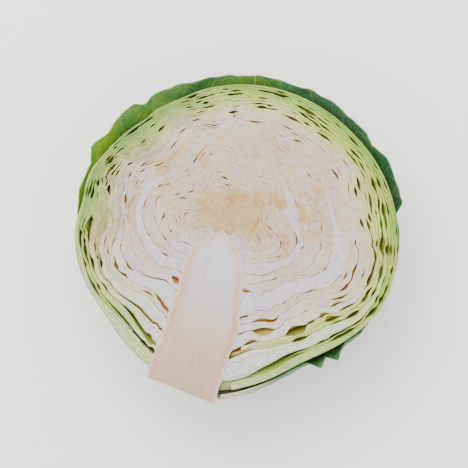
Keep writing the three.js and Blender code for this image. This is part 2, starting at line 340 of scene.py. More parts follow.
# Leaves follow each other round the stem by the golden angle, in degrees.
GOLDEN_TURN = 137.5
FIRST_TURN = 132.5
# Thickness of blade, midrib, the air between leaves and a leaf past its margin, in mm.
BLADE, MIDRIB, AIR, SPENT = 2.05, 3.0, 0.02, 0.14
BUD_RADIUS, BUD_GAP = 5.5, 0.03
# How deep each leaf's foot is rooted in the side of the core, in mm.
ROOTED = 0.3
# How far a leaf reaches from its own centre, where that centre lies, how wide its midrib is and
# where the midrib starts and is full, in degrees. No leaf runs on past LEAF_STOP.
LEAF_REACH, LEAF_CENTRE = 128.0, 42.0
RIB_WIDTH, BOLD_WIDTH = 42, 26
RIB_FROM, RIB_FULL = 70, 150
LEAF_STOP = 176.0
# By the stem the innermost leaves crowd together, and are thinner by this share.
CROWDING = 0.62
PACKING_SEED, KNIFE_SEED = 5, 100
# The knife rounds the edge of a leaf by this much, in mm, and most on the loose outer ones.
EDGE, BEVEL = 0.012, 0.07
# Rows of points in the smallest leaf, and how many more the largest has.
LEAST_ROWS, MORE_ROWS = 46, 96
# The rays run every 0.75 degrees from the crown, and their turns crowd together by the cut.
SAMPLES = np.arange(0, 179.5, 0.75)
HALF_TURNS = [0, 0.7, 1.6, 2.8, 4.4, 6.5, 9, 12.5, 17, 23, 31, 41, 53, 66, 78]
TURNS = np.array(HALF_TURNS + [90] + [180 - t for t in reversed(HALF_TURNS)])

# Leaves whose juicy midrib the knife met full on: where it starts to swell, where it is full,
# in degrees, and how much it adds, in mm.
BOLD_RIBS = {20: (40, 88, 3.6), 16: (34, 78, 2.2), 24: (96, 140, 1.6), 12: (30, 70, 1.0)}
# Hollows seen on the cut: side, polar angle, distance from the growing point, half length
# and height in mm. They open over the leaf bases, where the midribs bow away.
HOLLOWS = [
    ("R", 148, 42, 2.5, 1.2), ("R", 143, 56, 8, 2.0), ("R", 147, 64, 7, 4.2),
    ("R", 133, 72, 7, 4.6), ("R", 155, 66, 4, 1.2), ("R", 134, 76, 5, 1.8),
    ("R", 146, 78, 20, 1.2), ("R", 147, 84, 20, 1.5), ("R", 113, 61, 2.5, 1.1),
    ("R", 99, 64, 2, 0.9), ("R", 99, 74, 3, 1.1), ("R", 108, 75, 3, 1.1),
    ("R", 118, 79, 3.5, 1.3), ("R", 85, 90, 6, 1.6), ("R", 103, 89, 6, 1.5),
    ("L", 149, 40, 3.5, 2.6), ("L", 136, 46, 11, 0.6), ("L", 142, 55, 4, 1.1),
    ("L", 150, 52, 4, 1.2), ("L", 155, 55, 3.5, 1.1), ("L", 147, 66, 18, 1.0),
    ("L", 148, 71, 15, 1.3), ("L", 121, 61, 3, 2.0), ("L", 126, 59, 2.5, 1.6),
    ("L", 127, 38, 2, 0.9), ("L", 158, 75, 5, 1.3), ("L", 142, 74.5, 14, 0.8),
    ("L", 157, 84, 3, 1.1), ("L", 161, 79, 3, 1.1), ("L", 37, 43, 2.2, 1.1),
    ("L", 30, 42, 2, 1.0), ("L", 21, 39, 2, 1.0), ("L", 8, 27, 2, 1.0),
    ("L", 5, 24, 2, 0.9), ("L", 66, 40, 2.4, 1.1), ("L", 53, 77, 17, 1.7),
    ("L", 84, 70, 3, 1.8), ("L", 74, 69, 3.5, 1.8), ("L", 65, 64, 4, 1.8),
    ("L", 82, 75, 2.5, 2.2), ("L", 99, 76, 7, 1.6), ("L", 56, 60, 3, 1.2),
    ("L", 70, 74, 4, 1.2), ("L", 84, 44, 6, 0.8), ("L", 76, 37, 5, 0.9),
    ("L", 72, 52, 5, 0.9), ("L", 88, 33, 3, 0.9), ("R", 62, 88, 6, 1.2),
    ("R", 72, 91, 5, 1.3), ("R", 94, 92, 5, 1.4), ("R", 112, 88, 5, 1.4),
]
# Small ones: creases in the heart, slits under the skin, and slits in the crushed left side.
CREASES, SLITS, CRUSHED = 111, 320, 129
# How much of a hollow each leaf near it gives up, from the one just inside it, and how much of
# a leaf is left at least.
SQUEEZE = ((0, 0.3), (1, 0.34), (-1, 0.14), (2, 0.14))
LEAST_LEFT = 0.3
# Patches of older, yellower flesh: x and y from the growing point and half sizes, in mm.
PATCHES = [
    (14, 9, 24, 9), (36, -8, 9, 17), (26, 20, 15, 8), (-68, -20, 9, 13), (0, 13, 18, 8),
    (-34, 30, 20, 9), (-52, 4, 10, 12), (12, 46, 26, 7), (50, 26, 10, 16),
]

order_of = (np.arange(LEAVES) + 0.5) / LEAVES
turn_of = (np.arange(LEAVES) * GOLDEN_TURN + FIRST_TURN) % 360
polar_grid, turn_grid = np.meshgrid(SAMPLES, TURNS, indexing="ij")


def direction(polar, turn):
    """The ray from the growing point at polar degrees from the crown and turned by turn."""
    p, t = np.broadcast_arrays(np.radians(polar), np.radians(turn))
    return np.stack([np.sin(p) * np.cos(t), np.cos(p), -np.sin(p) * np.sin(t)], -1)


def leaf_thickness(k, rng):
    """Thickness of leaf k, the air outside it and how much of it is midrib, on every ray."""
    order = order_of[k]
    off = np.abs((turn_grid - turn_of[k] + 180) % 360 - 180)
    p, c = np.radians(polar_grid), math.radians(LEAF_CENTRE)
    cosine = np.cos(p) * math.cos(c) + np.sin(p) * math.sin(c) * np.cos(np.radians(off))
    angle = np.degrees(np.arccos(np.clip(cosine, -1, 1)))
    present = smooth(LEAF_REACH + 10, LEAF_REACH - 22, angle)
    rib = smooth(RIB_FROM, RIB_FULL, polar_grid) * np.exp(-((off / RIB_WIDTH) ** 2))
    crowded = 1 - CROWDING * (1 - 2 * order) * smooth(100, 160, polar_grid)
    uneven = 0.25 + 0.4 * smooth(0.75, 0.3, order)
    swell = 1 + uneven * np.sin(polar_grid / rng.uniform(6, 11) + rng.uniform(0, 6)) * np.sin(
        turn_grid / 20 + rng.uniform(0, 6)
    )
    bulk = MIDRIB * (0.5 if k == LEAVES - 1 else 1.0)
    blade = (BLADE * (1.5 - 0.9 * order) + bulk * rib * (0.5 + 0.6 * order)) * crowded * swell
    bold = 0
    if k in BOLD_RIBS:
        start_at, full_at, extra = BOLD_RIBS[k]
        bold = np.exp(-((off / BOLD_WIDTH) ** 2)) * smooth(start_at, full_at, polar_grid)
        blade = blade + extra * bold
    air = AIR + 0.10 * smooth(0.74, 0.95, order) + 0.02 * rib
    return np.maximum(SPENT, blade * present), np.maximum(AIR, air * present), np.maximum(rib, bold)


def rim_radius(side, polar):
    """Distance from the growing point to the skin along the cut, in mm."""
    return float(head_radius(polar, 0.0 if side == "R" else 180.0))


def small_hollows(rng):
    """Creases between the inner leaves, slits between the outer ones, and the crushed left."""
    found = []
    for n in range(CREASES + SLITS + CRUSHED):
        slit = n >= CREASES
        crushed = n >= CREASES + SLITS
        side = "L" if crushed else rng.choice(["L", "R"])
        polar = rng.uniform(16, 92) if crushed else rng.uniform(4, 128)
        skin = rim_radius(side, polar)
        far = skin - abs(rng.normal(0, 10)) - 1.5 if slit else rng.uniform(16, 66)
        half = rng.uniform(1.6, 5.0) if slit else rng.uniform(0.8, 2.4)
        height = rng.uniform(0.3, 1.3) if slit else rng.uniform(0.25, 0.9)
        found.append((side, polar, far, half, height))
    return found


def stack_leaves(thick, air):
    """Inner and outer radius of each leaf on every ray, filling the head from bud to skin."""
    start = BUD_RADIUS + BUD_GAP
    step = thick.copy()
    step[:-1] += air[:-1]
    scale = (head_radius(polar_grid, turn_grid) - start) / step.sum(0)
    inner = np.concatenate([np.zeros_like(step[:1]), np.cumsum(step, 0)[:-1]])
    return start + inner * scale, start + (inner + thick) * scale


def pack_leaves():
    """All leaves on every ray, with the hollows opened between them."""
    rng = np.random.default_rng(PACKING_SEED)
    thick, air, ribs = map(np.array, zip(*(leaf_thickness(k, rng) for k in range(LEAVES))))
    outer = stack_leaves(thick, air)[1]
    for side, polar, far, half, height in HOLLOWS + small_hollows(rng):
        column = 0 if side == "R" else len(TURNS) - 1
        row = int(np.argmin(np.abs(SAMPLES - polar)))
        k = int(np.argmin(np.abs(outer[: LEAVES - 1, row, column] - far)))
        reach = np.radians(polar_grid - polar) * far / half
        lens = np.maximum(0, 1 - reach**2) ** 1.3
        aside = turn_grid if side == "R" else 180 - turn_grid
        below = np.radians(aside) * far * np.sin(np.radians(polar))
        shallow = smooth(0.9, 0.7, far / rim_radius(side, polar))
        deep = 3.2 + 1.2 * height - shallow * (2.3 + 0.5 * height)
        opened = height * lens * np.exp(-((below / deep) ** 2))
        air[k] += opened
        # the leaves beside a hollow are squeezed, so those farther off keep their place
        for step, part in SQUEEZE:
            near = k + step
            if 0 <= near < LEAVES:
                thick[near] = np.maximum(thick[near] * LEAST_LEFT, thick[near] - opened * part)
    inner, outer = stack_leaves(thick, air)
    return inner, outer, ribs


leaf_inner, leaf_outer, leaf_rib = pack_leaves()


def beside_core(radius, polar, turn):
    """Distance from a point on a ray to the side of the core, in mm."""
    p = direction(polar, turn) * radius[..., None]
    depth = -p[..., 1]
    half = np.interp(depth, CORE_DEPTH, CORE_HALF, left=-50)
    return np.hypot(p[..., 0] - core_centre(depth), p[..., 2]) - half


def leaf_end(k, radius):
    """Polar angle where leaf k ends, at its wavy free margin or at the core, for each turn."""
    c = math.radians(LEAF_CENTRE)
    ahead = math.cos(c)
    aside = math.sin(c) * np.cos(np.radians(TURNS - turn_of[k]))
    span = np.hypot(ahead, aside)
    reach = np.clip(math.cos(math.radians(LEAF_REACH)) / span, -1, 1)
    margin = np.degrees(np.arctan2(aside, ahead) + np.arccos(reach))
    margin += 2.2 * np.sin(np.radians(TURNS) * 9 + k) + 1.4 * np.sin(np.radians(TURNS) * 17 + 2 * k)
    gap = beside_core(radius, polar_grid, turn_grid) + ROOTED
    ends = []
    for j in range(len(TURNS)):
        stop = LEAF_STOP
        inside = np.nonzero((gap[:, j] < 0) & (SAMPLES > 60))[0]
        if len(inside):
            i = inside[0]
            fall = max(1e-6, gap[i - 1, j] - gap[i, j])
            stop = SAMPLES[i - 1] + (SAMPLES[i] - SAMPLES[i - 1]) * gap[i - 1, j] / fall
        ends.append(min(stop, margin[j], LEAF_STOP))
    return np.array(ends)


# Side veins leave the midrib this many degrees apart, and sweep up by this many on their way.
VEIN_SPACING, VEIN_SWEEP = 15.5, 62


def vein_map(polar, turn, centre, spread):
    """How a leaf's veins run: distance from its midrib and which side vein a point lies by."""
    off = (turn - centre + 180) % 360 - 180
    lean = np.abs(off) / spread
    half = 0.4 + 6.6 * smooth(30, 165, polar)
    return {
        "mid": np.radians(off) * 90 * np.sin(np.radians(polar)) / half,
        "lean": lean,
        "rail": (polar + VEIN_SWEEP * np.sqrt(lean) + 3 * np.sin(lean * 5)) / VEIN_SPACING
        + 0.4 * (off > 0),
    }


def veins_of(tree, where):
    """Masks for the midrib, the side veins 25 mm apart, and the net between them. The smallest
    cells of the real net are 2 mm wide, and are drawn 5 mm wide so that they show."""
    warp = node(tree, "TexNoise", {"Vector": where, "Scale": every(8.3), "Detail": 2}, out="Color")
    bend = node(tree, "Math", {0: warp.node.outputs["Fac"], 1: 0.5}, operation="SUBTRACT")
    rail = node(tree, "Attribute", out="Fac", attribute_name="rail")
    rail = node(tree, "Math", {0: bend, 1: 0.22, 2: rail}, operation="MULTIPLY_ADD")
    rail = node(tree, "Math", {0: rail, 1: 0.5}, operation="PINGPONG")
    fine = node(tree, "Math", {0: rail, 1: 5.0}, operation="MULTIPLY")
    fine = node(tree, "Math", {0: fine, 1: 0.5}, operation="PINGPONG")
    fine = node(tree, "Math", {0: bend, 1: 0.44, 2: fine}, operation="MULTIPLY_ADD")
    fine = node(tree, "ValToRGB", {"Fac": fine}, [(0.0, 0.35), (0.12, 0.0)])
    side = node(tree, "ValToRGB", {"Fac": rail}, [(0.0, 1.0), (0.025, 0.8), (0.07, 0.0)])
    lean = node(tree, "Attribute", out="Fac", attribute_name="lean")
    fade = node(tree, "ValToRGB", {"Fac": lean}, [(0.0, 1.0), (0.35, 0.8), (1.0, 0.25)])
    side = node(tree, "Math", {0: side, 1: fade}, operation="MULTIPLY")
    middle = node(tree, "Attribute", out="Fac", attribute_name="mid")
    middle = node(tree, "Math", {0: middle}, operation="ABSOLUTE")
    middle = node(tree, "ValToRGB", {"Fac": middle}, [(0.45, 1.0), (1.0, 0.0)])
    place = node(
        tree, "VectorMath", {0: warp, 1: (0.009,) * 3, 2: where}, operation="MULTIPLY_ADD"
    )
    cells = node(
        tree, "TexVoronoi", {"Vector": place, "Scale": every(5.3)},
        out="Distance", feature="DISTANCE_TO_EDGE",
    )
    net = node(tree, "ValToRGB", {"Fac": cells}, [(0.0, 0.9), (0.09, 0.0)])
    net = node(tree, "Math", {0: net, 1: fine}, operation="MAXIMUM")
    raised = node(tree, "Math", {0: middle, 1: side}, operation="MAXIMUM")
    faint = node(tree, "Math", {0: net, 1: 0.38}, operation="MULTIPLY")
    raised = node(tree, "Math", {0: raised, 1: faint}, operation="MAXIMUM")
    return middle, side, net, raised


# Sliced leaf flesh: cream white and faintly wet, a yellower heart, and lime to green layers
# next to the skin, where each leaf's skin shows as a greener line. Its cells are 0.1 mm wide,
# and their grain is drawn 2.4 mm wide so that it shows.
flesh, tree, where = tissue("cabbage_leaf_flesh")
order, across, skin, rib, base, warm = (
    node(tree, "Attribute", out="Fac", attribute_name=name)
    for name in ("order", "across", "skin", "rib", "base", "warm")
)
speck = node(tree, "TexNoise", {"Vector": where, "Scale": every(2.4), "Detail": 5, "Roughness": 0.65})
cloud = node(tree, "TexNoise", {"Vector": where, "Scale": every(29), "Detail": 3})
blotch = node(
    tree, "TexNoise",
    {"Vector": where, "Scale": every(13), "Detail": 4, "Roughness": 0.6, "Distortion": 0.8},
)
fleck = node(tree, "TexNoise", {"Vector": where, "Scale": every(5.3), "Detail": 3, "Roughness": 0.6})
drift = node(tree, "Math", {0: cloud, 1: 0.5}, operation="SUBTRACT")
ripening = node(tree, "Math", {0: drift, 1: 0.2, 2: order}, operation="MULTIPLY_ADD")
ripe = node(
    tree, "ValToRGB", {"Fac": ripening},
    [
        (0.0, "#b99f6a"), (0.14, "#bfab83"), (0.3, "#c3b297"), (0.55, "#c6b8a4"),
        (0.7, "#c5bd9b"), (0.79, "#b9c26f"), (0.9, "#a4b947"), (1.0, "#7ea22c"),
    ],
)
aged = node(tree, "Math", {0: warm, 1: 1.35}, operation="MULTIPLY", use_clamp=True)
colour = node(tree, "Mix", {0: aged, 6: ripe, 7: "#b5924e"}, out=2, data_type="RGBA")
# watery patches where the cells are bruised, and drier cream flecks
inner_only = node(
    tree, "ValToRGB", {"Fac": order}, [(0.08, 0.2), (0.3, 0.85), (0.68, 0.75), (0.82, 0.0)]
)
watery = node(
    tree, "ValToRGB", {"Fac": blotch}, [(0.4, 0.0), (0.48, 1.0), (0.56, 1.0), (0.63, 0.0)]
)
dry = node(tree, "ValToRGB", {"Fac": fleck}, [(0.55, 0.0), (0.66, 0.8)])
for mask, tone in ((watery, "#b9aca9"), (dry, "#c3a172")):
    shown = node(tree, "Math", {0: mask, 1: inner_only}, operation="MULTIPLY")
    colour = node(tree, "Mix", {0: shown, 6: colour, 7: tone}, out=2, data_type="RGBA")
# the midribs and leaf feet hold more water and less green
pale = node(
    tree, "ValToRGB", {"Fac": order},
    [(0.0, "#b8aebc"), (0.66, "#bfb8c1"), (0.78, "#c4c2bd"), (0.9, "#c6c5b8"), (1.0, "#aeb97c")],
)
for mask, amount in ((rib, 1.25), (base, 0.85)):
    shown = node(tree, "Math", {0: mask, 1: amount}, operation="MULTIPLY", use_clamp=True)
    colour = node(tree, "Mix", {0: shown, 6: colour, 7: pale}, out=2, data_type="RGBA")
# each leaf's skin, a line half a millimetre wide, broken up in the heart
skin_tone = node(
    tree, "ValToRGB", {"Fac": order},
    [(0.0, "#a58d5b"), (0.4, "#b29d78"), (0.7, "#a7a765"), (0.85, "#7c9a33"), (1.0, "#5a842b")],
)
skin_line = node(tree, "ValToRGB", {"Fac": skin}, [(0.0, 1.0), (0.95, 0.0)])
bold_line = node(
    tree, "ValToRGB", {"Fac": order},
    [(0.03, 0.0), (0.09, 0.3), (0.3, 0.3), (0.65, 0.35), (0.8, 0.75), (1.0, 0.9)],
)
patchy = node(tree, "ValToRGB", {"Fac": blotch}, [(0.4, 0.1), (0.6, 1.0)])
whole = node(tree, "ValToRGB", {"Fac": order}, [(0.7, 0.0), (0.84, 1.0)])
unbroken = node(tree, "Math", {0: patchy, 1: whole}, operation="MAXIMUM")
shown = node(tree, "Math", {0: skin_line, 1: bold_line}, operation="MULTIPLY")
shown = node(tree, "Math", {0: shown, 1: unbroken}, operation="MULTIPLY")
colour = node(tree, "Mix", {0: shown, 6: colour, 7: skin_tone}, out=2, data_type="RGBA")
# the outer leaves split into thinner plies where the knife dragged them
ply = node(tree, "Math", {0: across, 1: 2.6}, operation="MULTIPLY")
ply = node(tree, "Math", {0: fleck, 1: 2.2, 2: ply}, operation="MULTIPLY_ADD")
ply = node(tree, "Math", {0: ply}, operation="SINE")
ply = node(tree, "Math", {0: ply}, operation="ABSOLUTE")
ply_line = node(tree, "ValToRGB", {"Fac": ply}, [(0.0, 1.0), (0.3, 0.0)])
outer_only = node(tree, "ValToRGB", {"Fac": order}, [(0.68, 0.0), (0.84, 0.6)])
shown = node(tree, "Math", {0: ply_line, 1: outer_only}, operation="MULTIPLY")
colour = node(tree, "Mix", {0: shown, 6: colour, 7: "#6f8c2c"}, out=2, data_type="RGBA")
grain = node(tree, "ValToRGB", {"Fac": speck}, [(0.34, "#ece5da"), (0.56, "#ffffff")])
colour = node(
    tree, "Mix", {0: 1.0, 6: colour, 7: grain}, out=2, data_type="RGBA", blend_type="MULTIPLY"
)
moisten(tree, colour, 0.4, speck, 0.2, (2.2, 1.5, 0.8), 0.4)

# The waxy faces of the leaves inside the head: pale, greener outwards, and painted warm orange
# brown as painted shade for light that reaches them only through the flesh, deepest by the core.
face, tree, where = tissue("cabbage_inner_leaf_face")
order, base = (
    node(tree, "Attribute", out="Fac", attribute_name=name) for name in ("order", "base")
)
middle, side, net, raised = veins_of(tree, where)
# painted shade: the inner faces are painted orange brown; the olive to green of the outer ones is
# partly their own colour
colour = node(
    tree, "ValToRGB", {"Fac": order},
    [
        (0.0, "#c88f3e"), (0.3, "#cb9248"), (0.62, "#c89a50"), (0.78, "#b3a84c"),
        (0.9, "#9bb045"), (1.0, "#82a33c"),
    ],
)
# painted shade: the leaf feet by the core are painted a deeper orange brown
painted_shade_by_core = node(tree, "ValToRGB", {"Fac": order}, [(0.82, 0.55), (0.94, 0.0)])
skin_only = node(tree, "ValToRGB", {"Fac": order}, [(0.93, 0.0), (0.98, 1.0)])
for mask, amount, tone in (
    (base, painted_shade_by_core, "#c47c34"), (base, skin_only, "#c1c3a4"), (net, 0.3, "#aebc6a"),
    (side, 0.7, "#c3c99a"), (middle, 0.75, "#c6c9ae"),
):
    shown = node(tree, "Math", {0: mask, 1: amount}, operation="MULTIPLY")
    colour = node(tree, "Mix", {0: shown, 6: colour, 7: tone}, out=2, data_type="RGBA")
cloud = node(tree, "TexNoise", {"Vector": where, "Scale": every(17), "Detail": 3})
mottle = node(tree, "ValToRGB", {"Fac": cloud}, [(0.3, "#efecdf"), (0.7, "#ffffff")])
colour = node(
    tree, "Mix", {0: 1.0, 6: colour, 7: mottle}, out=2, data_type="RGBA", blend_type="MULTIPLY"
)
moisten(tree, colour, 0.45, raised, 0.7, (1.8, 1.4, 0.6), 0.3)


def sheet_piece(name, outer, inner, values, materials, over_crown, cut_columns):
    """Closes two grids of points into one leaf. The first and last columns lie on the cut, with
    cut_columns of flesh before the skin. Over the crown, row 0 is one point in each skin."""
    rows, cols = outer.shape[:2]
    number = np.arange(rows * cols).reshape(rows, cols)
    if over_crown:
        for j in range(cols):
            number[0, j] = number[0, min(j, cols - 1 - j, cut_columns)]
    out, inn = number, number + rows * cols
    faces, slots = [], []

    def put(slot, *corners):
        corners = list(dict.fromkeys(int(v) for v in corners))
        if len(corners) > 2:
            faces.append(corners)
            slots.append(slot)

    for j in range(cols - 1):
        grown = 1 if cut_columns <= j < cols - 1 - cut_columns else 0
        for i in range(rows - 1):
            put(grown, out[i, j], out[i + 1, j], out[i + 1, j + 1], out[i, j + 1])
            put(grown, inn[i, j + 1], inn[i + 1, j + 1], inn[i + 1, j], inn[i, j])
        put(grown, out[-1, j], inn[-1, j], inn[-1, j + 1], out[-1, j + 1])
        if not over_crown:
            put(grown, out[0, j + 1], inn[0, j + 1], inn[0, j], out[0, j])
    for i in range(rows - 1):
        put(0, out[i, 0], inn[i, 0], inn[i + 1, 0], out[i + 1, 0])
        put(0, out[i + 1, -1], inn[i + 1, -1], inn[i, -1], out[i, -1])
    used = np.unique(np.stack([out, inn]))
    renumber = np.zeros(2 * rows * cols, dtype=int)
    renumber[used] = np.arange(len(used))
    faces = [renumber[corners].tolist() for corners in faces]
    points = np.concatenate([outer.reshape(-1, 3), inner.reshape(-1, 3)])[used]
    kept = {key: np.asarray(value).reshape(-1)[used] for key, value in values.items()}
    return mesh_piece(name, points, faces, kept, materials, slots)


# Where the two strips of cut flesh end, from the middle of the leaf (0) to its skin (1).
STRIPS = (0.3, 0.82)


def pad(grid):
    """Repeats the edge columns for the two strips of flesh on either side."""
    return np.concatenate([grid[:, :1], grid[:, :1], grid, grid[:, -1:], grid[:, -1:]], 1)


def with_flesh(near, far, rounding):
    """A skin with its two strips of cut flesh on either side, lying in the cut plane."""
    strips = []
    for j in (0, -1):
        for share in STRIPS:
            strip = near[:, j] * (0.5 + share / 2) + far[:, j] * (0.5 - share / 2)
            strip[:, 2] = 0
            strips.append(strip[:, None])
    skin = near.copy()
    skin[..., 2] = np.minimum(skin[..., 2], -rounding)
    return np.concatenate([strips[0], strips[1], skin, strips[3], strips[2]], 1)


def warmth(p):
    """How aged and yellow the flesh is at each point, from 0 to 1."""
    value = np.zeros(p.shape[:-1])
    for x, y, wide, high in PATCHES:
        value += np.exp(-(((p[..., 0] - x) / wide) ** 2) - ((p[..., 1] - y) / high) ** 2)
    value *= 0.6 + 0.4 * smooth(-1.2, 1.2, BROAD[1](p * 1.6))
    return np.clip(value + 0.25 * smooth(0.2, 1.4, BROAD[2](p * 1.3)), 0, 1)


def build_leaf(k):
    """One head leaf from the crown to where it ends, both skins and the cut flesh between."""
    order = order_of[k]
    rows = int(LEAST_ROWS + MORE_ROWS * order)
    u = np.linspace(0, 1, rows)[:, None]
    skins = []
    for radius in (leaf_outer[k], leaf_inner[k]):
        polar = u * leaf_end(k, radius)
        columns = range(len(TURNS))
        r = np.stack([np.interp(polar[:, j], SAMPLES, radius[:, j]) for j in columns], 1)
        skins.append((polar, direction(polar, TURNS) * r[..., None]))
    (polar, outer), (_, inner) = skins
    thick = pad(np.linalg.norm(outer - inner, axis=-1))
    across = np.ones(thick.shape)
    across[:, [0, -1]], across[:, [1, -2]] = STRIPS
    rounding = EDGE + BEVEL * smooth(0.6, 0.9, order)
    sheets = [with_flesh(outer, inner, rounding), with_flesh(inner, outer, rounding)]
    # the knife leaves each leaf a little higher or lower than the next near the rim
    step = np.random.default_rng(KNIFE_SEED + k).uniform(0, 0.3)
    placed = []
    for sheet in sheets:
        moved = settle(sheet)
        sunk = 0.03 * FINE[0](sheet * 1.7) - 0.05 - step * 0.3 * smooth(0.55, 0.85, order)
        moved[..., 2] = np.minimum(moved[..., 2] + sunk * np.exp(sheet[..., 2] / 0.6), 0)
        placed.append(moved)
    ribs = np.stack([np.interp(polar[:, j], SAMPLES, leaf_rib[k][:, j]) for j in columns], 1)
    turn = np.broadcast_to(TURNS, polar.shape)
    gap = beside_core(np.linalg.norm(outer, axis=-1), polar, turn)
    base = smooth(10 + 22 * smooth(0.7, 0.95, order), 0.5, gap)
    values = {
        "order": np.full((2,) + thick.shape, order),
        "across": np.stack([across, -across]),
        "skin": np.stack([(1 - across) * thick] * 2),
        "rib": np.stack([pad(ribs)] * 2),
        "base": np.stack([pad(base)] * 2),
        "warm": np.stack([warmth(sheet) for sheet in sheets]),
    }
    for key, value in vein_map(polar, turn, turn_of[k], 80.0).items():
        values[key] = np.stack([pad(value)] * 2)
    return sheet_piece(f"leaf_{k + 1:02d}", *placed, values, [flesh, face], True, 2)


for k in range(LEAVES):
    stand_for(build_leaf(k), f"head_leaf_{k + 1:02d}")

# ---------------------------------------------------------------- heart bud
# The unopened leaves at the growing point, a small soft yellowish lump on the core's tip,
# of the same flesh as the leaves and faintly creased where they will part.
BUD_ROWS = 24
# How far round it reaches, in degrees, how far out its flesh starts, in mm, and how deep its
# folds are as a share of its radius.
BUD_REACH, BUD_HEART, FOLD_SHARE = 128.0, 0.5, 0.03
bud_polar = np.linspace(0, BUD_REACH, BUD_ROWS)[:, None] * np.ones(len(TURNS))
folds = np.abs(np.sin(np.radians(bud_polar) * 7) * np.cos(np.radians(TURNS) * 5))
bud_ray = direction(bud_polar, TURNS)
bud_skin = bud_ray * (BUD_RADIUS * (1 - FOLD_SHARE * folds))[..., None]
bud_heart = bud_ray * BUD_HEART
bud_sheets = [with_flesh(bud_skin, bud_heart, EDGE), with_flesh(bud_heart, bud_skin, EDGE)]
bud_values = {
    key: np.full((2,) + bud_sheets[0].shape[:2], value)
    for key, value in (
        ("order", 0.0), ("across", 0.2), ("skin", 2.0), ("rib", 0.0), ("base", 0.0),
        ("warm", 0.6), ("mid", 2.0), ("lean", 1.0), ("rail", 0.5),
    )
}
bud = sheet_piece("growing_bud", *map(settle, bud_sheets), bud_values, [flesh, face], True, 2)
stand_for(bud, "heart_bud")

# ---------------------------------------------------------------- wrapper leaf
# The loose outer leaf that cups the head's back: thick, deep green, with a pale midrib and a
# waxy bloom. Its free margin stands out round the crown, frilled and torn in places.
WRAP_ROWS, WRAP_COLUMNS = ((210, 220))
# In mm: how far its margin lies below the cut and how far out that is at the crown, the gap
# between leaf and head, the blade, the height of its veins, and the width of the frilled band.
MARGIN_DROP, CROWN_REACH = 6.0, 83.0
WRAP_GAP, WRAP_BLADE, WRAP_RIDGE = 0.5, 1.3, 1.3
MARGIN_BAND = 20
# Which way its midrib runs and where its blade ends by the stem, in degrees.
WRAP_TURN, WRAP_FOOT = 85.0, 168.0
PUCKER_SEED = 71
# The head rests here, where the leaf is pressed thick and flat.
REST_CENTRE = (8, -3)
REST_PAD = 4
# How far the margin stands out, in mm, by its bearing from the crown, left to right.
STAND_AT = np.array([
    -99, -93, -86, -75, -70, -61, -53, -47, -44, -40, -30, -20,
    -10, 0, 25, 34, 40, 45, 49, 55, 60, 70, 74, 90,
])
STAND = np.array([
    1.4, 3.4, 4.6, 4.9, 9.5, 8.5, 11.5, 12.5, 9.5, 11.4, 9.5, 7.5,
    7, 6.8, 7, 7.5, 6.3, 7.4, 5.2, 8.5, 6.4, 6.4, 1.4, 1.0,
])

# Mature cabbage leaf: blue green to yellow green at random under a dull waxy bloom, with pale
# raised veins, and painted darker and bluer towards the right as painted shade. It looks matt
# and soft, and lets a little light through.
wrapper_leaf, tree, where = tissue("cabbage_wrapper_leaf")
margin, shaded, foot = (
    node(tree, "Attribute", out="Fac", attribute_name=name) for name in ("margin", "shaded", "foot")
)
middle, side, net, raised = veins_of(tree, where)
cloud = node(tree, "TexNoise", {"Vector": where, "Scale": every(26), "Detail": 4, "Roughness": 0.55})
# painted shade: the tint runs darker and bluer as shaded rises towards the right side
tint = node(tree, "Math", {0: shaded, 1: -0.2, 2: cloud}, operation="MULTIPLY_ADD")
colour = node(
    tree, "ValToRGB", {"Fac": tint},
    [(0.2, "#27513c"), (0.36, "#336442"), (0.47, "#487a38"), (0.56, "#678f2d"), (0.64, "#8aa82a")],
)
seen = node(tree, "Math", {0: margin, 1: -0.5, 2: 0.8}, operation="MULTIPLY_ADD")
for mask, amount, tone in (
    (net, 0.28, "#8fae4a"), (side, seen, "#a9bb7c"),
    (middle, 0.85, "#bdc699"), (foot, 0.85, "#bdb494"),
):
    shown = node(tree, "Math", {0: mask, 1: amount}, operation="MULTIPLY")
    colour = node(tree, "Mix", {0: shown, 6: colour, 7: tone}, out=2, data_type="RGBA")
wax = node(tree, "TexNoise", {"Vector": where, "Scale": every(71), "Detail": 5, "Roughness": 0.7})
bloom = node(tree, "ValToRGB", {"Fac": wax}, [(0.45, 0.0), (0.8, 0.4)])
colour = node(tree, "Mix", {0: bloom, 6: colour, 7: "#7f9f8a"}, out=2, data_type="RGBA")
moisten(tree, colour, 0.46, raised, 1.1, (0.8, 1.2, 0.4), 0.2)


def ridges(veins, polar):
    """Height from 0 to 1 of the midrib and side veins."""
    middle = np.exp(-1.6 * veins["mid"] ** 2) * smooth(5, 60, polar)
    near = np.abs((veins["rail"] + 0.5) % 1 - 0.5)
    side = np.exp(-((near / 0.1) ** 2)) * smooth(1.3, 0.6, veins["lean"]) * 0.45
    return np.maximum(middle, side)


def margin_turn(polar, turn, steep_from, steep):
    """Turn at which the leaf's free margin runs: level by the crown, then away from the cut."""
    edge = head_radius(polar, turn) * np.sin(np.radians(polar))
    level = np.degrees(np.arcsin(np.clip(MARGIN_DROP / edge, 0, 1)))
    level = np.where(polar < 90, level, np.minimum(level, 12))
    return level + steep * np.clip((polar - steep_from) / (WRAP_FOOT - steep_from), 0, 1) ** 1.5


def leaf_values(veins, polar, margin, shaded, foot_from):
    """What the wrapper material needs to know at each point of both skins."""
    foot = smooth(foot_from, foot_from + 15, polar)
    values = {key: np.stack([value, value]) for key, value in veins.items()}
    return values | {"margin": np.stack([margin] * 2), "shaded": shaded, "foot": np.stack([foot] * 2)}


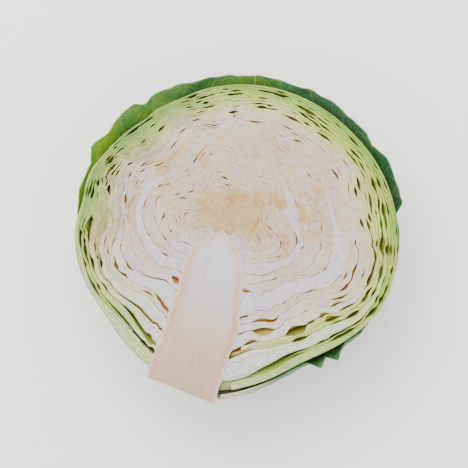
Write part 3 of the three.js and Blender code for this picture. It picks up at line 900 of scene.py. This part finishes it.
def build_wrapper():
    """Rows from the crown margin to the foot, columns from the right margin to the left."""
    top = math.degrees(math.asin(MARGIN_DROP / CROWN_REACH)) + 0.01
    down = top + np.linspace(0, 1, WRAP_ROWS) ** 1.15 * (WRAP_FOOT - top)
    polar = down[:, None] * np.ones(WRAP_COLUMNS)
    v = np.cos(np.linspace(0, 1, WRAP_COLUMNS) * np.pi)
    v = 0.5 - 0.5 * v * (0.75 + 0.25 * np.abs(v))
    first = margin_turn(down, 4.0, 76, 40)[:, None]
    last = 180 - margin_turn(down, 176.0, 88, 48)[:, None]
    turn = first + v * (last - first)
    turn[0] = 90.0
    head = head_radius(polar, turn)
    ray = direction(polar, turn)
    # distance in mm from the free margin, and how far the leaf stands off the head
    round_head = np.pi / 180 * head * np.sin(np.radians(polar))
    away = np.minimum(turn - first, last - turn) * round_head
    below = np.maximum(-ray[..., 2] * head - MARGIN_DROP, 0)
    away = np.where(polar > 95, away, np.minimum(away, below * 1.1))
    bearing = np.degrees(np.arctan2(ray[..., 0], ray[..., 1]))
    stand = np.maximum(np.interp(bearing, STAND_AT, STAND) - WRAP_GAP - WRAP_BLADE, 0)
    frill = 0.45 * np.sin(np.radians(bearing) * 19) + 0.35 * np.sin(np.radians(bearing) * 37 + 1)
    near = np.clip(1 - away / MARGIN_BAND, 0, 1)
    lift = (stand + frill * smooth(95, 80, np.abs(bearing)) * 0.7) * near**2.2
    veins = vein_map(polar, turn, WRAP_TURN, 80.0)
    pucker = 0.5 * waves(PUCKER_SEED, 18, 9, 22)(ray * head[..., None])
    from_rest = np.hypot(ray[..., 0] * head - REST_CENTRE[0], ray[..., 1] * head - REST_CENTRE[1])
    quiet = smooth(20, 30, from_rest)
    inside = head + WRAP_GAP + np.maximum(lift, 0) + np.abs(pucker) * 0.5 * quiet
    ridge = WRAP_RIDGE * ridges(veins, polar) * (0.35 + 0.65 * smooth(60, 165, polar)) * quiet
    thick = WRAP_BLADE * (0.45 + 0.55 * smooth(0, 12, away)) + ridge
    thick += REST_PAD * smooth(26, 14, from_rest)
    drop = np.maximum(np.sin(np.radians(polar)) * np.sin(np.radians(turn)), 0.05)
    outside = np.minimum(inside + thick, TIP.z / MM / drop)
    inside = np.minimum(inside, outside - 0.4)
    outer, inner = ray * outside[..., None], ray * inside[..., None]
    sag = 1.6 * np.sin(np.radians(bearing) * 12 + 2) * near**2 * smooth(95, 70, np.abs(bearing))
    for skin in (outer, inner):
        skin[..., 2] += sag
    # painted shade: the leaf is painted darker towards the right, the side away from the softbox
    shaded = smooth(-20, 80, np.stack([outer[..., 0], inner[..., 0]]))
    values = leaf_values(veins, polar, near, shaded, 152)
    return sheet_piece("wrapper", outer, inner, values, [wrapper_leaf] * 2, True, 0)


stand_for(build_wrapper(), "wrapper_leaf_1")

# ---------------------------------------------------------------- torn wrapper leaf
# What is left of a second wrapper leaf of the same green tissue: its base and one ragged side,
# growing from the foot of the stem. It lies over the first one, and two scraps of its margin
# hang free.
TORN_ROWS, TORN_COLUMNS = 110, 60
# The gap between it and the first wrapper leaf, and the height of its veins, in mm.
TORN_GAP, TORN_RIDGE = 1.8, 0.9
# Which way its midrib runs and where its blade ends by the stem, in degrees.
TORN_TURN, TORN_FOOT = 40.0, 169.0
TORN_SEED = 83
# How far its edge stands out and how far it lies below the cut, in mm, by polar angle.
TORN_AT = np.array([106, 112, 118, 121, 124, 127, 129.5, 133, 136, 142, 150, 158, 168.0])
TORN_STAND = np.array([1.5, 1.5, 2.5, 2.0, 4.5, 9.4, 4.0, 9.0, 2.6, 2.0, 2.0, 2.0, 2.0])
TORN_DROP = np.array([16, 11, 8, 6, 7, 8, 6.5, 8, 6, 5, 3, 0.4, 0.4])


def build_torn():
    """Rows from the torn edge to the foot, columns from the cut down to the ragged side."""
    v = np.linspace(0, 1, TORN_COLUMNS) ** 1.4
    first = 106 + 9 * v + 1.6 * np.sin(v * 23) + np.sin(v * 51 + 1) + 10 * smooth(0.25, 0, v)
    polar = first + (TORN_FOOT - first) * np.linspace(0, 1, TORN_ROWS)[:, None]
    edge = polar[:, 0]
    reach = head_radius(edge, 5.0) * np.sin(np.radians(edge))
    start = np.degrees(np.arcsin(np.clip(np.interp(edge, TORN_AT, TORN_DROP) / reach, 0, 1)))[:, None]
    finish = (66 - 18 * smooth(122, 106, edge) + 2.5 * np.sin(edge * 0.5))[:, None]
    turn = start + v * (finish - start)
    head = head_radius(polar, turn)
    ray = direction(polar, turn)
    away = (turn - start) * np.pi / 180 * head * np.sin(np.radians(polar))
    stand = np.maximum(np.interp(polar, TORN_AT, TORN_STAND) - 2, 0)
    lift = stand * np.clip(1 - away / 9, 0, 1) ** 1.5
    veins = vein_map(polar, turn, TORN_TURN, 60.0)
    pucker = 0.35 * waves(TORN_SEED, 16, 7, 18)(ray * head[..., None])
    join = smooth(9, 0, away)
    seat = WRAP_GAP + WRAP_BLADE + TORN_GAP
    inside = head + seat * (1 - 0.72 * join) + lift + np.abs(pucker) * (1 - join)
    thick = WRAP_BLADE * (0.5 + 0.5 * smooth(0, 8, away)) + TORN_RIDGE * ridges(veins, polar)
    thick += 0.5 * smooth(150, 166, polar)
    outer, inner = ray * (inside + thick)[..., None], ray * inside[..., None]
    for skin in (outer, inner):
        skin[..., 2] = np.minimum(skin[..., 2], -0.05)
    # painted shade: the torn leaf on the right gets the same darker painted shade throughout
    values = leaf_values(veins, polar, join, np.full((2,) + polar.shape, 0.9), 146)
    return sheet_piece("torn_wrapper", outer, inner, values, [wrapper_leaf] * 2, False, 0)


stand_for(build_torn(), "wrapper_leaf_2")

# ---------------------------------------------------------------- floor
# A plain pale tabletop of lacquered board, far wider than the view. The half head lies loose
# on it, on its rounded back.
FLOOR_HALF = 3.0
floor_mesh = bpy.data.meshes.new("floor")
corners = [(x * FLOOR_HALF, y * FLOOR_HALF, 0) for x, y in ((-1, -1), (1, -1), (1, 1), (-1, 1))]
floor_mesh.from_pydata(corners, [], [(0, 1, 2, 3)])
# Matt white lacquer, sprayed: an even soft white with no grain and hardly a reflection.
tabletop = bpy.data.materials.new("pale_matt_tabletop")
tabletop.use_nodes = True
lacquer = tabletop.node_tree.nodes["Principled BSDF"].inputs
lacquer["Base Color"].default_value = linear("#fcfbf9")
lacquer["Roughness"].default_value = 0.8
lacquer["IOR"].default_value = 1.45
floor_mesh.materials.append(tabletop)
floor = bpy.data.objects.new("floor", floor_mesh)
bpy.context.collection.objects.link(floor)

# ---------------------------------------------------------------- light
# Soft daylight from all round, and one large square softbox overhead, a little to the upper
# left, which gives the leaves their faint shadows. Places and sizes are in metres.
DAYLIGHT = 1.6
SOFTBOX_AT = Vector((-0.35, 0.5, 1.25))
SOFTBOX_AIM = Vector((0, 0, 0.05))
SOFTBOX_SIDE = 0.9
SOFTBOX_WATTS = 24
world = bpy.data.worlds.new("studio")
bpy.context.scene.world = world
world.use_nodes = True
daylight = world.node_tree.nodes["Background"].inputs
daylight["Color"].default_value = (1, 1, 1, 1)
daylight["Strength"].default_value = DAYLIGHT
softbox = bpy.data.lights.new("overhead_softbox", "AREA")
softbox.shape = "SQUARE"
softbox.size = SOFTBOX_SIDE
softbox.energy = SOFTBOX_WATTS
lamp = bpy.data.objects.new("overhead_softbox", softbox)
lamp.location = SOFTBOX_AT
lamp.rotation_euler = (SOFTBOX_AIM - SOFTBOX_AT).to_track_quat("-Z", "Y").to_euler()
bpy.context.collection.objects.link(lamp)

# ---------------------------------------------------------------- camera
# Looks straight down on the cut face, turned so that the core leans to the right. Its height is
# in metres and its lens in mm.
LEAN = math.radians(11.6)
CAMERA_HEIGHT = 0.85
LENS, SENSOR = 116.8, 36
AIM = TIP + Vector((6.6, -1.5, 0)) * MM
camera_data = bpy.data.cameras.new("camera")
camera_data.lens = LENS
camera_data.sensor_width = SENSOR
camera = bpy.data.objects.new("camera", camera_data)
overhead = Matrix.Translation(AIM + Vector((0, 0, CAMERA_HEIGHT)))
camera.matrix_world = overhead @ Matrix.Rotation(LEAN, 4, "Z")
bpy.context.collection.objects.link(camera)
bpy.context.scene.camera = camera
